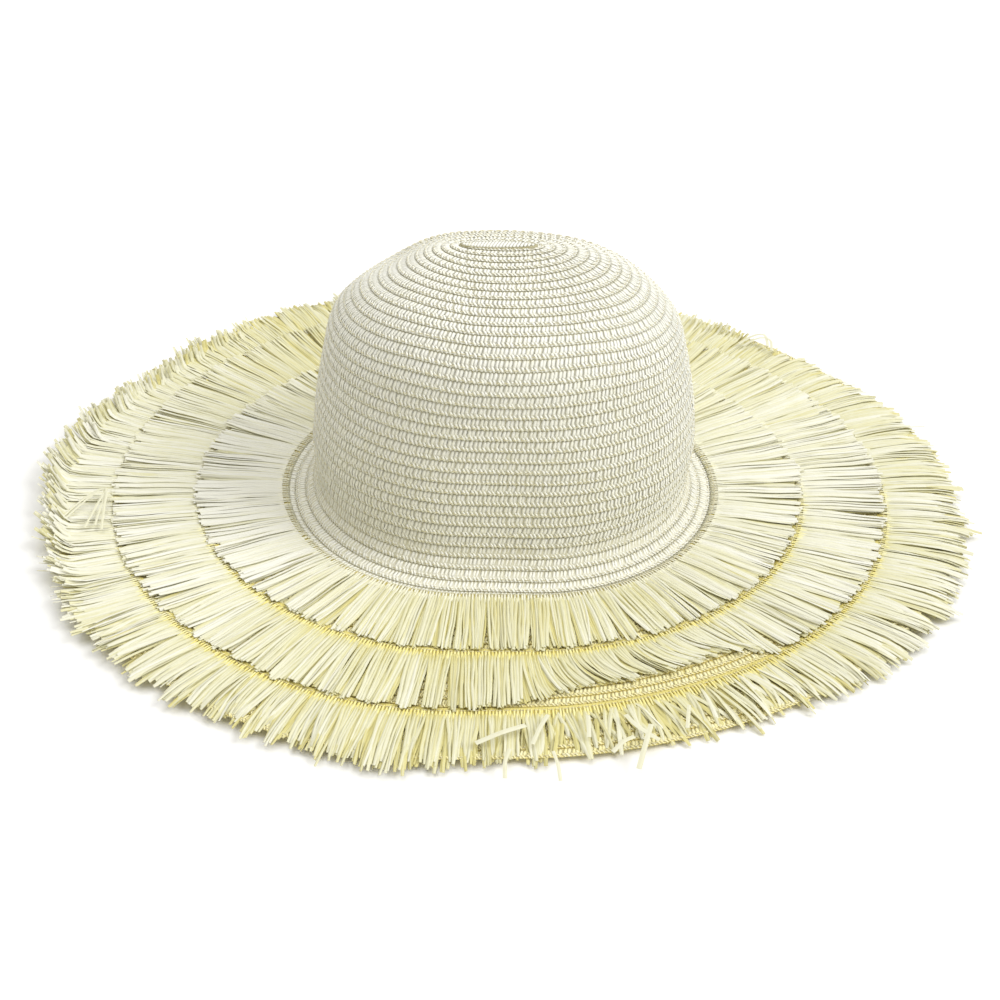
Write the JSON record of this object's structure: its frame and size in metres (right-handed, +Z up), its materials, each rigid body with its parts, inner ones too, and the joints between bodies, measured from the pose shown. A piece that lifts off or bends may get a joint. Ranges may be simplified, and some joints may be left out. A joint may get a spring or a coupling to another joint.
{
  "type": "straw sun hat",
  "caption": "Wide-brimmed sun hat of spirally sewn paper-straw braid, with a rounded crown and tiers of raffia fringe sewn round the brim.",
  "frame": {"origin": "on the crown's axis, in the plane that the underside of the brim rests on", "axes": "+Z up through the crown, X along the long axis of the oval head opening, Y across it"},
  "size_m": [0.5118, 0.48, 0.1479],
  "materials": {
    "crown_braid": "matt plaited paper straw, ivory",
    "brim_braid": "matt plaited paper straw, cream",
    "raffia_strands": "soft raffia strands with a slight silky sheen, pale cream",
    "fringe_heading": "woven heading tape, yellow cream",
    "seam_thread": "fine polyester sewing thread, ivory",
    "fringe_thread": "fine polyester sewing thread, pale yellow",
    "sweatband_ribbon": "ribbed grosgrain ribbon, ivory"
  },
  "bodies": {
    "root": {"brim_braid": "brim_braid", "brim_edge_braid": "brim_braid", "brim_seam_thread": "seam_thread", "crown_dome_braid": "crown_braid", "crown_flare_braid": "crown_braid", "crown_seam_thread": "seam_thread", "crown_shoulder_braid": "crown_braid", "crown_side_braid": "crown_braid", "crown_tip_braid": "crown_braid", "inner_fringe_heading": "fringe_heading", "inner_fringe_stitching": "fringe_thread", "inner_fringe_strands": "raffia_strands", "middle_fringe_heading": "fringe_heading", "middle_fringe_stitching": "fringe_thread", "middle_fringe_strands": "raffia_strands", "outer_fringe_heading": "fringe_heading", "outer_fringe_stitching": "fringe_thread", "outer_fringe_strands": "raffia_strands", "sweatband": "sweatband_ribbon", "sweatband_stitching": "seam_thread"}
  },
  "joints": []
}
